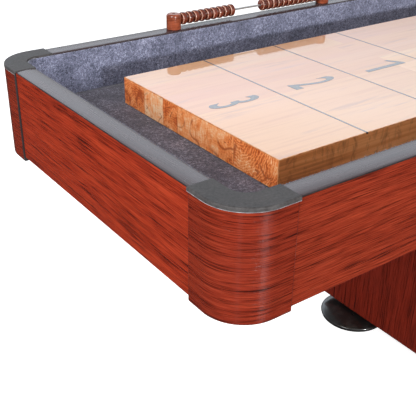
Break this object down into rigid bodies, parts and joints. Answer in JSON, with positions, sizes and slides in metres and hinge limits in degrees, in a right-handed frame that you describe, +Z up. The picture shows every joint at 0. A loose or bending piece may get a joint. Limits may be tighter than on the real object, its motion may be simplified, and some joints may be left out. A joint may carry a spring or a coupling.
{
  "type": "shuffleboard table",
  "caption": "Long shuffleboard table: gloss butcher-block playing board in a carpeted cradle with rounded corners, rail-top bead scorers, cabinet pedestals and screw-out feet.",
  "frame": {"origin": "on the floor under the middle of the table", "axes": "+X along the table towards the right end, +Y across it towards the back side, away from the pedestal doors, +Z up"},
  "size_m": [3.6632, 0.6766, 0.8167],
  "materials": {
    "maple_board": "poured clear gloss over butcher-block strips",
    "panel_board": "plain fibreboard",
    "gutter_carpet": "needled ribless felt, heathered blue-grey",
    "cherry_laminate": "gloss laminate, red mahogany grain",
    "rail_laminate": "semi-gloss, fine lengthwise grain",
    "cap_plastic": "fine moulded texture",
    "pedestal_laminate": "satin laminate, upright mahogany grain",
    "leveler_black": "gloss",
    "catch_plastic": "moulded",
    "plated_steel": "bright plated",
    "bead_wood": "stained and lacquered"
  },
  "bodies": {
    "table": {"playing_board": "maple_board", "gutter_floor": "panel_board", "floor_carpet": "gutter_carpet", "wall_carpet": "gutter_carpet", "side_apron_front": "cherry_laminate", "side_rail_front": "rail_laminate", "bearer_front": "panel_board", "side_apron_back": "cherry_laminate", "side_rail_back": "rail_laminate", "bearer_back": "panel_board", "end_apron_left": "cherry_laminate", "end_rail_left": "rail_laminate", "end_apron_right": "cherry_laminate", "end_rail_right": "rail_laminate", "corner_block_front_left": "cherry_laminate", "corner_cap_front_left": "cap_plastic", "corner_block_front_right": "cherry_laminate", "corner_cap_front_right": "cap_plastic", "corner_block_back_left": "cherry_laminate", "corner_cap_back_left": "cap_plastic", "corner_block_back_right": "cherry_laminate", "corner_cap_back_right": "cap_plastic", "pedestal_left_outer_panel": "pedestal_laminate", "pedestal_left_inner_panel": "pedestal_laminate", "pedestal_left_back_panel": "pedestal_laminate", "pedestal_left_top_panel": "pedestal_laminate", "pedestal_left_bottom_panel": "pedestal_laminate", "hinge_left_lower": "plated_steel", "hinge_left_upper": "plated_steel", "door_catch_left": "catch_plastic", "pedestal_right_outer_panel": "pedestal_laminate", "pedestal_right_inner_panel": "pedestal_laminate", "pedestal_right_back_panel": "pedestal_laminate", "pedestal_right_top_panel": "pedestal_laminate", "pedestal_right_bottom_panel": "pedestal_laminate", "hinge_right_lower": "plated_steel", "hinge_right_upper": "plated_steel", "door_catch_right": "catch_plastic", "scorer_front_post_first": "bead_wood", "scorer_front_post_last": "bead_wood", "scorer_front_rod": "plated_steel", "scorer_back_post_first": "bead_wood", "scorer_back_post_last": "bead_wood", "scorer_back_rod": "plated_steel"},
    "door_left": {"door_left": "pedestal_laminate", "door_knob_left": "plated_steel"},
    "leveler_left_outer_front": {"leveler_left_outer_front": "leveler_black"},
    "leveler_left_outer_back": {"leveler_left_outer_back": "leveler_black"},
    "leveler_left_inner_front": {"leveler_left_inner_front": "leveler_black"},
    "leveler_left_inner_back": {"leveler_left_inner_back": "leveler_black"},
    "door_right": {"door_right": "pedestal_laminate", "door_knob_right": "plated_steel"},
    "leveler_right_outer_front": {"leveler_right_outer_front": "leveler_black"},
    "leveler_right_outer_back": {"leveler_right_outer_back": "leveler_black"},
    "leveler_right_inner_front": {"leveler_right_inner_front": "leveler_black"},
    "leveler_right_inner_back": {"leveler_right_inner_back": "leveler_black"},
    "beads_front_short": {"beads_front_short": "bead_wood"},
    "beads_front_long": {"beads_front_long": "bead_wood"},
    "beads_back_short": {"beads_back_short": "bead_wood"},
    "beads_back_long": {"beads_back_long": "bead_wood"}
  },
  "joints": [
    {"name": "door_left_swing", "type": "hinge", "parent": "table", "child": "door_left", "pos_m": [-1.0238, -0.2838, 0.34], "axis": [0, 0, -1], "range_deg": [0, 110]},
    {"name": "leveler_left_outer_front_travel", "type": "slide", "parent": "table", "child": "leveler_left_outer_front", "axis": [0, 0, -1], "range_m": [0, 0.015]},
    {"name": "leveler_left_outer_back_travel", "type": "slide", "parent": "table", "child": "leveler_left_outer_back", "axis": [0, 0, -1], "range_m": [0, 0.015]},
    {"name": "leveler_left_inner_front_travel", "type": "slide", "parent": "table", "child": "leveler_left_inner_front", "axis": [0, 0, -1], "range_m": [0, 0.015]},
    {"name": "leveler_left_inner_back_travel", "type": "slide", "parent": "table", "child": "leveler_left_inner_back", "axis": [0, 0, -1], "range_m": [0, 0.015]},
    {"name": "door_right_swing", "type": "hinge", "parent": "table", "child": "door_right", "pos_m": [1.0238, -0.2838, 0.34], "axis": [0, 0, 1], "range_deg": [0, 110]},
    {"name": "leveler_right_outer_front_travel", "type": "slide", "parent": "table", "child": "leveler_right_outer_front", "axis": [0, 0, -1], "range_m": [0, 0.015]},
    {"name": "leveler_right_outer_back_travel", "type": "slide", "parent": "table", "child": "leveler_right_outer_back", "axis": [0, 0, -1], "range_m": [0, 0.015]},
    {"name": "leveler_right_inner_front_travel", "type": "slide", "parent": "table", "child": "leveler_right_inner_front", "axis": [0, 0, -1], "range_m": [0, 0.015]},
    {"name": "leveler_right_inner_back_travel", "type": "slide", "parent": "table", "child": "leveler_right_inner_back", "axis": [0, 0, -1], "range_m": [0, 0.015]},
    {"name": "beads_front_short_travel", "type": "slide", "parent": "table", "child": "beads_front_short", "axis": [-1, 0, 0], "range_m": [0, 0.034]},
    {"name": "beads_front_long_travel", "type": "slide", "parent": "table", "child": "beads_front_long", "axis": [1, 0, 0], "range_m": [0, 0.034]},
    {"name": "beads_back_short_travel", "type": "slide", "parent": "table", "child": "beads_back_short", "axis": [1, 0, 0], "range_m": [0, 0.034]},
    {"name": "beads_back_long_travel", "type": "slide", "parent": "table", "child": "beads_back_long", "axis": [-1, 0, 0], "range_m": [0, 0.034]}
  ]
}
